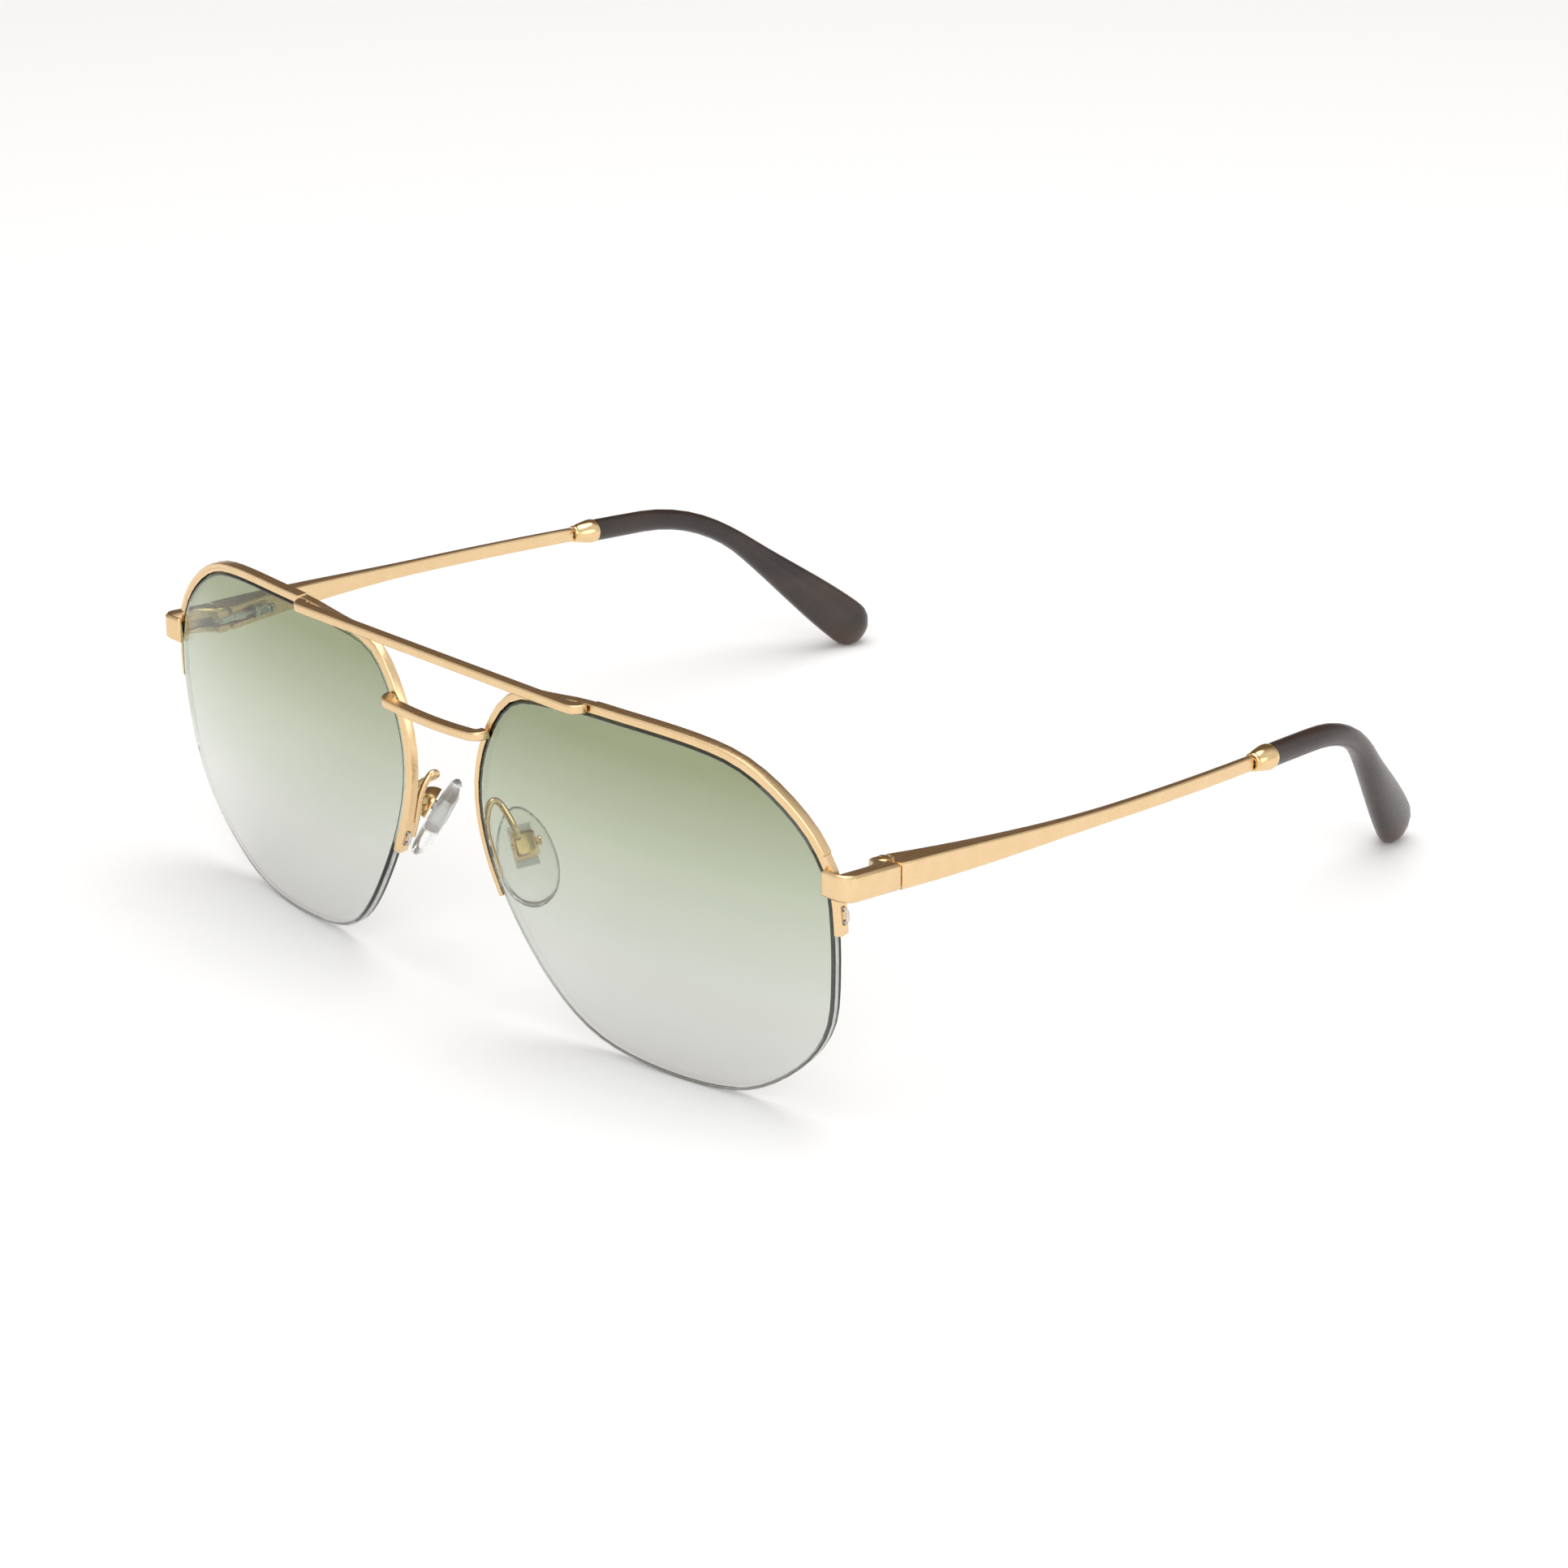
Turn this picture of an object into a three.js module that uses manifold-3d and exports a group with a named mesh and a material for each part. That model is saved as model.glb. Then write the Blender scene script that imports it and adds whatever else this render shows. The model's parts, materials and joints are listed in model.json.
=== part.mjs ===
// Aviator sunglasses with a half rim, spring hinges and adjustable nose pads.
// Millimetres, +Z up. The glasses stand on the lens bottoms and the temple tips, with the
// front facing -Y. The origin is under the middle of the glasses, on the surface they stand on.
// "left" is the wearer's left, which is the +X side.

import * as THREE from "three";
import { mergeVertices } from "three/addons/utils/BufferGeometryUtils.js";
import Module from "manifold-3d";

const wasm = await Module();
wasm.setup();

// ---------- driving dimensions ----------

const degree = Math.PI / 180;
const clearance = 0.3; // between pieces that touch or are brazed together
const grooveClearance = 0.1; // round the nylon in its grooves

// lenses
const lensWidth = 60.5;
const lensHeight = 52.3;
const lensThickness = 1.7;
const lensFrontBevel = 0.25;
const lensBackBevel = 0.12;
const lensRadius = 121; // of the front surface
const lensSpacing = 15.6; // between the two lenses, at the nose
const wrapAngle = 7.5 * degree; // each lens turns back towards the temple
const tiltAngle = 4.35 * degree; // the top leans forward
const lensGrooveWidth = 0.7;
const lensGrooveMiddle = 0.72; // behind the front edge
const lensGrooveDepth = 0.55;
const stationCount = 72; // round the lens outline

// the lens outline, in half widths and half heights from its vertex, from the bottom outwards
const lensOutline = [
  [-0.032, -1],
  [0.438, -0.973],
  [0.752, -0.755],
  [0.928, -0.488],
  [0.988, -0.127],
  [0.984, 0.321],
  [0.949, 0.456],
  [0.829, 0.665],
  [0.514, 0.911],
  [-0.197, 0.988],
  [-0.475, 0.966],
  [-0.772, 0.891],
  [-0.941, 0.624],
  [-1.003, 0.303],
  [-0.932, -0.09],
  [-0.633, -0.674],
  [-0.398, -0.906],
];

// rim
const rimThickness = 1.05;
const rimDepth = 1.4; // from the front of the lens edge backwards
const rimFit = 0.12; // between the lens edge and the rim
const rimChamfer = 0.2;
const rimGrooveDepth = 0.45;
const rimOuterEndHeight = 29.2;
const rimNoseEndHeight = 20.0;
const lugDepth = 0.3; // the rim ends reach this much further back
const lugLength = 5.4;
const cordHoleDistances = [1.75, 3.65]; // from the rim end
const ridgeHeight = 0.15; // raised above the rim, outboard of the brow bar
const ridgeProud = 0.3;
const ridgeWidth = 0.45;

// nylon
const cordDiameter = 0.5;
const cordLoopReach = 0.25; // the loop stands this far off the lug
const cordHoleRadius = 0.42;

// brow bar and bridge
const browHalfLength = 29.75;
const browTall = 1.3;
const browDeep = 1.8;
const bridgeTall = 1.3;
const bridgeDeep = 1.8;
const bridgeHeight = 43.8;
const bridgeSag = 0.6;
const browHook = 0.4; // each end turns back this far to meet the rim
const bridgeHook = 0.6;
const barInnerBend = 0.3; // inside radius of each turned end
const barEdge = 0.2; // rounding of the bar edges
const barSteps = 10;

// endpiece and hinge
const closingY = 16.3; // where endpiece and temple meet, behind the lens vertex plane
const endpieceReach = 4.8; // front leg, from the outer face towards the lens
const endpieceLegDepth = 1.0;
const endpieceCornerRadius = 2.4;
const endpieceArmThickness = 2.25;
const endpieceTall = 3.8;
const endpieceSlope = 0.095; // fall per mm from its front to the hinge
const templeSlope = 0.0725; // fall per mm behind the hinge
const hingeHeight = 35.9;
const hingeBlockThickness = 4.3;
const pinInset = 1.3; // from the inner face of the hinge block
const pinBehindClosing = -0.2;
const knuckleRadius = 1.3;
const knuckleFit = 0.2;
const slotTall = 1.4;
const slotLength = 5.1; // forward of the pin
const screwRadius = 0.55;
const screwFit = 0.06;
const screwHeadRadius = 1.0;
const screwHeadTall = 0.35;
const screwSlotWidth = 0.28;

// spring inside the temple
const tongueWidth = 1.3;
const tongueTall = 1.0;
const eyeRadius = 1.15;
const tongueLength = 4.2;
const rodRadius = 0.4;
const rodFit = 0.12; // between the rod and the hole in its stop
const rodSunk = 0.2; // of the rod's end, inside the tongue
const rodLength = 5.4;
const rodHeadRadius = 0.8;
const rodHeadLength = 0.6;
const cavitySize = 2.0;
const stopAt = 5.8; // behind the pin
const stopLength = 0.8;
const stopPinRadius = 0.45;
const stopPinFit = 0.08;
const stopPinSunk = 0.2; // of the pin, inside its plate
const stopPinShort = 0.35; // of the block's outer face
const stopFit = 0.12; // round the plate, inside the cavity
const springWire = 0.3;
const springRadius = 0.68;
const springTurns = 4;

// temple, ferrule and tip
const templeHingeTall = 3.8;
const templeRearTall = 2.15;
const templeRearThickness = 1.15;
const templeTaperLength = 42; // behind the closing line, the bar gets less tall over this length
const templeThinning = 15; // and thins by two thirds in this length
const templeEdge = 0.2;
const templeLength = 73; // from the closing line to the ferrule
const templeBow = 1.4; // the bar curves out this far between its ends
const ferruleLength = 5;
const ferruleFrontRadius = 1.4;
const ferruleRearRadius = 1.95;
const coreRadius = 0.6;
const coreFit = 0.15;
const tipFrontTall = 3.65;
const tipFrontThickness = 2.9;
const tipBendTall = 3.3;
const tipEndTall = 7.9;
const tipEndThickness = 5.1;
// Each tip is bent to its wearer's ear, so the two differ: how far from the ferrule to the bend,
// how far on from there to the end, how high its middle line ends over the ground, how far
// inwards it turns, and how far from its corner the bend starts.
const tipBends = {
  left: { crown: 20.7, leg: 39.9, rise: 1.23, inward: 14.7 * degree, ease: 10.3 },
  right: { crown: 21.7, leg: 41.9, rise: 1.39, inward: 13.3 * degree, ease: 12.3 },
};
const coreShare = 0.62; // how far the core reaches into the tip

// nose pads
const padLength = 14.4;
const padWidth = 8.2;
const padThickness = 2.6;
const padCoreLength = 5.6;
const padCoreWidth = 3.2;
const padCoreThickness = 0.8;
const padLug = 1.1;
const padLugReach = 0.6; // past the middle of its screw
const padBoxLength = 4.1;
const padBoxWidth = 3.6;
const padBoxDepth = 1.9;
const padBoxWall = 0.45;
const padBoxGap = 0.4; // between the box and the pad, so that the pad can rock
const padScrewRadius = 0.4;
const padArmRadius = 0.5;
const padArmGap = 0.15; // between the wire and the box it is soldered behind
const padPivotShare = 0.4; // how deep into the box the pad rocks
const padCentre = new THREE.Vector3(9.7, 7.1, 23.3);
const padTopDirection = new THREE.Vector3(-0.516, 0.144, 0.846);
const padFaceDirection = new THREE.Vector3(-0.69, 0.51, -0.51);

// ---------- colours ----------

const satinGold = { color: 0xdcb070, roughness: 0.32, metalness: 1 };
const brightGold = { color: 0xe6bd7c, roughness: 0.2, metalness: 1 };
const springSteel = { color: 0xb9bcc0, roughness: 0.25, metalness: 1 };
const lensTint = { color: 0xb4c4a4, roughness: 0.04, metalness: 0 };
const clearNylon = { color: 0xdcdedd, roughness: 0.25, metalness: 0 };
const blackNylon = { color: 0x1b1917, roughness: 0.5, metalness: 0 };
const darkAcetate = { color: 0x2b1e1a, roughness: 0.45, metalness: 0 };
const clearSilicone = { color: 0xe9eae8, roughness: 0.2, metalness: 0 };

// ---------- solids ----------

function signedVolume(geometry) {
  const place = geometry.attributes.position;
  const index = geometry.index.array;
  const corner = [new THREE.Vector3(), new THREE.Vector3(), new THREE.Vector3()];
  let volume = 0;
  for (let i = 0; i < index.length; i += 3) {
    corner.forEach((point, k) => point.fromBufferAttribute(place, index[i + k]));
    volume += corner[0].dot(corner[1].clone().cross(corner[2])) / 6;
  }
  return volume;
}

// One closed mesh with shared corners and its faces pointing out.
function solid(geometry) {
  const bare = geometry.clone();
  bare.deleteAttribute("normal");
  bare.deleteAttribute("uv");
  const merged = mergeVertices(bare, 1e-4);
  const index = Array.from(merged.index.array);
  const kept = [];
  for (let i = 0; i < index.length; i += 3) {
    const [a, b, c] = index.slice(i, i + 3);
    if (a !== b && b !== c && a !== c) kept.push(a, b, c);
  }
  merged.setIndex(kept);
  if (signedVolume(merged) < 0) {
    for (let i = 0; i < kept.length; i += 3) {
      [kept[i], kept[i + 1]] = [kept[i + 1], kept[i]];
    }
    merged.setIndex(kept);
  }
  return merged;
}

function toManifold(geometry) {
  const closed = solid(geometry);
  const vertProperties = new Float32Array(closed.attributes.position.array);
  const triVerts = new Uint32Array(closed.index.array);
  return new wasm.Manifold(new wasm.Mesh({ numProp: 3, vertProperties, triVerts }));
}

function fromManifold(manifold) {
  const mesh = manifold.getMesh();
  const geometry = new THREE.BufferGeometry();
  geometry.setAttribute("position", new THREE.BufferAttribute(mesh.vertProperties, 3));
  geometry.setIndex(new THREE.BufferAttribute(mesh.triVerts, 1));
  return geometry;
}

function cut(body, ...tools) {
  return fromManifold(tools.reduce((left, tool) => left.subtract(toManifold(tool)), toManifold(body)));
}

function join(body, ...others) {
  return fromManifold(others.reduce((sum, other) => sum.add(toManifold(other)), toManifold(body)));
}

function warp(geometry, move) {
  const place = geometry.attributes.position;
  const point = new THREE.Vector3();
  for (let i = 0; i < place.count; i += 1) {
    point.fromBufferAttribute(place, i);
    const moved = move(point, i);
    place.setXYZ(i, moved.x, moved.y, moved.z);
  }
  return geometry;
}

function mirrored(geometry) {
  return solid(warp(geometry.clone(), (point) => new THREE.Vector3(-point.x, point.y, point.z)));
}

function polygon(points) {
  return new THREE.Shape(points.map(([x, y]) => new THREE.Vector2(x, y)));
}

function extruded(shape, length, steps = 1, curveSegments = 6) {
  return new THREE.ExtrudeGeometry(shape, { depth: length, steps, bevelEnabled: false, curveSegments });
}

// A rectangle with its corners cut at 45 degrees, centred on the origin.
function chamferedRectangle(width, height, chamfer) {
  const x = width / 2;
  const y = height / 2;
  return polygon([
    [-x + chamfer, -y],
    [x - chamfer, -y],
    [x, -y + chamfer],
    [x, y - chamfer],
    [x - chamfer, y],
    [-x + chamfer, y],
    [-x, y - chamfer],
    [-x, -y + chamfer],
  ]);
}

// A section swept through points, one layer at each, without twisting. The section's x starts
// along the given direction, and scaleAt may size each layer.
function sweepPoints(points, shape, across, curveSegments = 6, scaleAt = () => [1, 1]) {
  const last = points.length - 1;
  const frames = [];
  let x = across.clone();
  points.forEach((point, k) => {
    const along = points[Math.min(k + 1, last)].clone().sub(points[Math.max(k - 1, 0)]).normalize();
    x = x.clone().addScaledVector(along, -x.dot(along)).normalize();
    frames.push({ point, x, y: along.clone().cross(x) });
  });
  return warp(extruded(shape, last, last, curveSegments), (corner) => {
    const k = Math.round(corner.z);
    const [width, height] = scaleAt(k / last);
    const { point, x: sideways, y: upwards } = frames[k];
    const moved = point.clone().addScaledVector(sideways, corner.x * width);
    return moved.addScaledVector(upwards, corner.y * height);
  });
}

function circle(radius) {
  const round = new THREE.Shape();
  round.absarc(0, 0, radius, 0, 2 * Math.PI);
  return round;
}

function cylinder(radius, from, to, sides = 24) {
  const axis = to.clone().sub(from);
  const geometry = new THREE.CylinderGeometry(radius, radius, axis.length(), sides);
  const turn = new THREE.Quaternion().setFromUnitVectors(new THREE.Vector3(0, 1, 0), axis.normalize());
  geometry.applyQuaternion(turn);
  geometry.translate((from.x + to.x) / 2, (from.y + to.y) / 2, (from.z + to.z) / 2);
  return geometry;
}

function box(low, high) {
  const geometry = new THREE.BoxGeometry(high[0] - low[0], high[1] - low[1], high[2] - low[2]);
  geometry.translate((low[0] + high[0]) / 2, (low[1] + high[1]) / 2, (low[2] + high[2]) / 2);
  return geometry;
}

// ---------- the lens surface ----------

// The lens group's own frame: x outwards along the lens, z up it, y back from its vertex.
const lensTurn = new THREE.Quaternion().setFromEuler(new THREE.Euler(tiltAngle, 0, wrapAngle));

const outlineCurve = new THREE.CatmullRomCurve3(
  lensOutline.map(([u, v]) => new THREE.Vector3((u * lensWidth) / 2, 0, (v * lensHeight) / 2)),
  true,
);
const stations = outlineCurve.getSpacedPoints(stationCount).slice(0, stationCount);

function stationAt(index) {
  return stations[((index % stationCount) + stationCount) % stationCount];
}

function outwardAt(index) {
  const along = stationAt(index + 1).clone().sub(stationAt(index - 1)).normalize();
  return new THREE.Vector3(along.z, 0, -along.x);
}

// The outline runs from the bottom outwards and up, so its outward side is (dz, -dx).
// A point given by its station, how far it is outside the lens edge, and how deep behind the front.
function onLens(index, outward, depth) {
  const low = Math.floor(index);
  const share = index - low;
  const flat = stationAt(low).clone().lerp(stationAt(low + 1), share);
  flat.addScaledVector(outwardAt(low).lerp(outwardAt(low + 1), share).normalize(), outward);
  return dropOnto(flat.x, flat.z, depth);
}

function dropOnto(x, z, depth) {
  return new THREE.Vector3(x, lensRadius - Math.sqrt(lensRadius ** 2 - x ** 2 - z ** 2) + depth, z);
}

// The lens stands on z = 0 and its nose edge is half the spacing from the middle.
const turnedOutline = stations.map((_, k) => onLens(k, 0, 0).applyQuaternion(lensTurn));
const lensPlace = new THREE.Vector3(
  lensSpacing / 2 - Math.min(...turnedOutline.map((point) => point.x)),
  0,
  -Math.min(...turnedOutline.map((point) => point.z)),
);

function toWorld(point) {
  return point.clone().applyQuaternion(lensTurn).add(lensPlace);
}

// The place on the outline, counted in stations, where a measure of the lens edge crosses a value.
function stationWhere(measure, value, allowed) {
  for (let index = 0; index < stationCount; index += 1) {
    const here = toWorld(onLens(index, 0, 0));
    const next = toWorld(onLens(index + 1, 0, 0));
    const [low, high] = [measure(here), measure(next)];
    if (allowed(here) && (low - value) * (high - value) <= 0 && low !== high) {
      return index + (value - low) / (high - low);
    }
  }
  throw new Error("the lens outline never reaches that place");
}

function stationAtHeight(height, outerSide) {
  return stationWhere((p) => p.z, height, (p) => p.x > lensPlace.x === outerSide);
}

function stationOnTop(x) {
  return stationWhere((p) => p.x, x, (p) => p.z > lensPlace.z);
}

const rimOuterStation = stationAtHeight(rimOuterEndHeight, true);
const rimNoseStation = stationAtHeight(rimNoseEndHeight, false);
const stationPitch = outlineCurve.getLength() / stationCount;
const lugStations = lugLength / stationPitch;
const holeSteps = cordHoleDistances.map((distance) => distance / stationPitch);
const stepWidth = 0.04; // stations over which a sharp step is made

function layersBetween(from, to, breaks) {
  const fixed = [from, to, ...breaks];
  const layers = [...fixed];
  for (let index = Math.ceil(from); index < to; index += 1) {
    if (fixed.every((place) => Math.abs(place - index) > 0.12)) layers.push(index);
  }
  return layers.sort((a, b) => a - b);
}

// A section of (outward, depth) swept along the lens outline, reshaped at each layer.
function sweepOutline(shape, from, to, breaks = [], reshape = (x, y) => [x, y]) {
  const layers = layersBetween(from, to, breaks);
  const last = layers.length - 1;
  return warp(extruded(shape, last, last), (corner) => {
    const place = layers[Math.round(corner.z)];
    const [outward, depth] = reshape(corner.x, corner.y, place);
    return onLens(place, outward, depth);
  });
}

// ---------- the front ----------

function lensGeometry() {
  const grooveFront = lensGrooveMiddle - lensGrooveWidth / 2;
  const grooveBack = lensGrooveMiddle + lensGrooveWidth / 2;
  const profile = [
    { share: 0, inset: 0, depth: 0 },
    { share: 0.6, inset: 0, depth: 0 },
    { share: 1, inset: lensFrontBevel, depth: 0 },
    { share: 1, inset: 0, depth: lensFrontBevel },
    { share: 1, inset: 0, depth: grooveFront },
    { share: 1, inset: lensGrooveDepth, depth: grooveFront },
    { share: 1, inset: lensGrooveDepth, depth: grooveBack },
    { share: 1, inset: 0, depth: grooveBack },
    { share: 1, inset: 0, depth: lensThickness - lensBackBevel },
    { share: 1, inset: lensBackBevel, depth: lensThickness },
    { share: 0.6, inset: 0, depth: lensThickness },
    { share: 0, inset: 0, depth: lensThickness },
  ];
  const lathe = new THREE.LatheGeometry(
    profile.map((ring, k) => new THREE.Vector2(ring.share, k)),
    stationCount,
  );
  return solid(
    warp(lathe, (point, i) => {
      const ring = profile[i % profile.length];
      const station = Math.floor(i / profile.length) % stationCount;
      const flat = stationAt(station).clone().addScaledVector(outwardAt(station), -ring.inset);
      return dropOnto(flat.x * ring.share, flat.z * ring.share, ring.depth);
    }),
  );
}

// The nylon cord passes through two holes in each end of the rim.
function cordHole(station) {
  const from = onLens(station, -rimThickness / 2, lensGrooveMiddle);
  const to = onLens(station, rimThickness * 2, lensGrooveMiddle);
  return cylinder(cordHoleRadius, from, to, 12);
}

// The rim is deeper at both ends, and raised in front between the brow bar and the endpiece.
function rimGeometry() {
  const inner = rimFit;
  const outer = rimFit + rimThickness;
  const back = rimDepth;
  const grooveFront = lensGrooveMiddle - lensGrooveWidth / 2;
  const grooveBack = lensGrooveMiddle + lensGrooveWidth / 2;
  const section = polygon([
    [inner, 0],
    [outer - ridgeWidth - rimChamfer, 0],
    [outer - ridgeWidth, 0],
    [outer - rimChamfer / 2, 0],
    [outer, rimChamfer / 2],
    [outer, back - rimChamfer],
    [outer - rimChamfer, back],
    [inner, back],
    [inner, grooveBack],
    [inner + rimGrooveDepth, grooveBack],
    [inner + rimGrooveDepth, grooveFront],
    [inner, grooveFront],
  ]);
  const lugEnds = [rimOuterStation + lugStations, rimNoseStation - lugStations];
  const ridgeEnds = [
    stationAtHeight(hingeHeight + endpieceTall, true),
    stationOnTop(browHalfLength + clearance * 2),
  ];
  const breaks = [...lugEnds, ...ridgeEnds].flatMap((place) => [place, place + stepWidth]);
  const ridged = (place) => place > ridgeEnds[0] + stepWidth / 2 && place < ridgeEnds[1] + stepWidth / 2;
  const lugged = (place) => place < lugEnds[0] + stepWidth / 2 || place > lugEnds[1] + stepWidth / 2;
  const reshape = (x, y, place) => {
    const deeper = lugged(place) && y > grooveBack + 0.01 ? lugDepth : 0;
    const raised = ridged(place) && x > outer - ridgeWidth - 0.01 && y < rimChamfer;
    if (raised) return [x > outer - rimChamfer ? x + ridgeHeight : x, y - ridgeProud];
    const lifted = ridged(place) && x > outer - 0.01;
    return [lifted ? x + ridgeHeight : x, y + deeper];
  };
  const bar = sweepOutline(section, rimOuterStation, rimNoseStation, breaks, reshape);
  const holes = holeSteps.flatMap((step) => [
    cordHole(rimOuterStation + step),
    cordHole(rimNoseStation - step),
  ]);
  return solid(cut(bar, ...holes));
}

function linerGeometry() {
  const half = lensGrooveWidth / 2 - grooveClearance;
  const inner = -lensGrooveDepth + grooveClearance;
  const outer = rimFit + rimGrooveDepth - grooveClearance;
  const section = polygon([
    [inner, lensGrooveMiddle - half],
    [outer, lensGrooveMiddle - half],
    [outer, lensGrooveMiddle + half],
    [inner, lensGrooveMiddle + half],
  ]);
  const past = lugStations;
  return solid(sweepOutline(section, rimOuterStation + past, rimNoseStation - past));
}

// The nylon cord lies in the lens groove below the rim and loops out and in through each rim end.
function cordGeometry() {
  const seat = -lensGrooveDepth + grooveClearance + cordDiameter / 2;
  const [low, high] = holeSteps;
  const loopOut = rimFit + rimThickness + cordLoopReach + cordDiameter / 2;
  const wall = rimFit + rimThickness / 2;
  const turn = 0.16; // stations, where the cord rounds the edge of a hole
  const noseEnd = rimNoseStation;
  const outerEnd = rimOuterStation + stationCount;
  const loop = (end, sign) => [
    [end - sign * (high + turn), rimFit + grooveClearance],
    [end - sign * high, wall],
    [end - sign * high, loopOut - cordDiameter / 2],
    [end - sign * (high - turn), loopOut],
    [end - sign * (low + turn), loopOut],
    [end - sign * low, loopOut - cordDiameter / 2],
    [end - sign * low, wall],
    [end - sign * (low - turn), rimFit],
  ];
  const along = layersBetween(noseEnd, outerEnd, []).map((place) => [place, seat]);
  const route = [...loop(noseEnd, 1), ...along, ...loop(outerEnd, -1).toReversed()];
  const points = route.map(([place, outward]) => onLens(place, outward, lensGrooveMiddle));
  return solid(sweepPoints(points, circle(cordDiameter / 2), new THREE.Vector3(0, 1, 0), 3));
}

// A level bar: straight in front, with both ends turned back onto the rims, dipping by its sag.
function barGeometry(halfLength, tall, deep, hook, sag) {
  const bendRadius = deep / 2 + barInnerBend;
  const reach = halfLength - deep / 2;
  const straight = reach - bendRadius;
  const bendSteps = 5;
  const half = [[reach, deep + hook]];
  for (let k = 0; k <= bendSteps; k += 1) {
    const angle = (Math.PI / 2) * (k / bendSteps);
    half.push([straight + bendRadius * Math.cos(angle), deep / 2 + bendRadius * (1 - Math.sin(angle))]);
  }
  const middle = [];
  for (let k = 1; k < barSteps; k += 1) {
    middle.push([straight * (1 - (2 * k) / barSteps), deep / 2]);
  }
  const plan = [...half, ...middle, ...half.toReversed().map(([x, y]) => [-x, y])];
  const points = plan.map(([x, y]) => new THREE.Vector3(x, y, -sag * (1 - (x / halfLength) ** 2)));
  const section = chamferedRectangle(tall, deep, barEdge);
  return solid(sweepPoints(points, section, new THREE.Vector3(0, 0, 1)));
}

// ---------- endpiece and hinge ----------

const rimSideX = Math.max(...stations.map((_, k) => toWorld(onLens(k, rimFit + rimThickness, 0)).x));
const templeOuterX = rimSideX + clearance + endpieceArmThickness;
const hingeStation = stationAtHeight(hingeHeight + endpieceTall / 2, true);
const rimFrontY = toWorld(onLens(hingeStation, rimFit + rimThickness, 0)).y;
const endpieceFrontY = rimFrontY - clearance - endpieceLegDepth;

const hingePin = new THREE.Vector3(
  templeOuterX - hingeBlockThickness + pinInset,
  closingY + pinBehindClosing,
  hingeHeight,
);
const hingeInnerX = templeOuterX - hingeBlockThickness;
const templeDirection = new THREE.Vector3(0, 1, -templeSlope).normalize();

function endpieceShape() {
  const outer = templeOuterX;
  const front = endpieceFrontY;
  const lensSide = outer - endpieceReach;
  const armInner = outer - endpieceArmThickness;
  const legBack = front + endpieceLegDepth;
  const round = endpieceLegDepth / 2;
  const shape = new THREE.Shape();
  shape.moveTo(lensSide + round, front);
  shape.lineTo(outer - endpieceCornerRadius, front);
  const corner = new THREE.Vector2(outer - endpieceCornerRadius, front + endpieceCornerRadius);
  shape.absarc(corner.x, corner.y, endpieceCornerRadius, -Math.PI / 2, 0);
  shape.lineTo(outer, closingY);
  shape.lineTo(hingePin.x + knuckleRadius * 0.9, closingY);
  shape.absarc(hingePin.x, hingePin.y, knuckleRadius, 0.3, Math.PI);
  shape.lineTo(hingeInnerX, hingePin.y - knuckleRadius);
  const armStart = hingePin.y - knuckleRadius * 1.4;
  shape.quadraticCurveTo(armInner, armStart, armInner, hingePin.y - knuckleRadius * 3.4);
  shape.lineTo(armInner, legBack);
  shape.lineTo(lensSide + round, legBack);
  shape.absarc(lensSide + round, front + round, round, Math.PI / 2, (3 * Math.PI) / 2);
  return shape;
}

function endpieceGeometry() {
  const edge = 0.35;
  const block = new THREE.ExtrudeGeometry(endpieceShape(), {
    depth: endpieceTall - 2 * edge,
    bevelEnabled: true,
    bevelSize: edge,
    bevelThickness: edge,
    bevelOffset: -edge,
    bevelSegments: 1,
    steps: 1,
    curveSegments: 5,
  });
  block.translate(0, 0, hingeHeight - endpieceTall / 2 + edge);
  warp(block, (point) => {
    return point.setZ(point.z - (point.y - hingePin.y) * endpieceSlope);
  });
  const eyeRoom = eyeRadius + knuckleFit;
  const slot = box(
    [hingeInnerX - 1, hingePin.y - slotLength, hingeHeight - slotTall / 2],
    [hingePin.x + eyeRoom, closingY + knuckleRadius * 2, hingeHeight + slotTall / 2],
  );
  const bore = cylinder(
    screwRadius + screwFit,
    hingePin.clone().setZ(hingeHeight - endpieceTall),
    hingePin.clone().setZ(hingeHeight + endpieceTall),
  );
  const sink = cylinder(
    screwHeadRadius + screwFit,
    hingePin.clone().setZ(hingeHeight + endpieceTall / 2 - screwHeadTall),
    hingePin.clone().setZ(hingeHeight + endpieceTall),
  );
  return solid(cut(block, slot, bore, sink));
}

function hingeScrewGeometry() {
  const top = endpieceTall / 2 + 0.1;
  const seat = endpieceTall / 2 - screwHeadTall + screwFit;
  const bottom = -endpieceTall / 2 + 0.1;
  const profile = [
    [0, bottom],
    [screwRadius - 0.15, bottom],
    [screwRadius, bottom + 0.15],
    [screwRadius, seat],
    [screwHeadRadius, seat],
    [screwHeadRadius, top - 0.12],
    [screwHeadRadius - 0.15, top],
    [0, top],
  ];
  const turned = new THREE.LatheGeometry(profile.map(([r, z]) => new THREE.Vector2(r, z)), 24);
  turned.rotateX(Math.PI / 2);
  const groove = box([-2, -screwSlotWidth / 2, top - 0.22], [2, screwSlotWidth / 2, top + 1]);
  return solid(cut(turned, groove));
}

// The tongue: an eye on the hinge screw, a flat neck, and a headed rod that carries the spring.
// Its frame has the pin at the origin and y along the temple.
const tiltToTemple = new THREE.Quaternion().setFromUnitVectors(new THREE.Vector3(0, 1, 0), templeDirection);

// A round bar along the temple, measured back from the hinge pin.
function alongBar(radius, start, end) {
  return cylinder(radius, new THREE.Vector3(0, start, 0), new THREE.Vector3(0, end, 0), 16);
}

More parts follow.
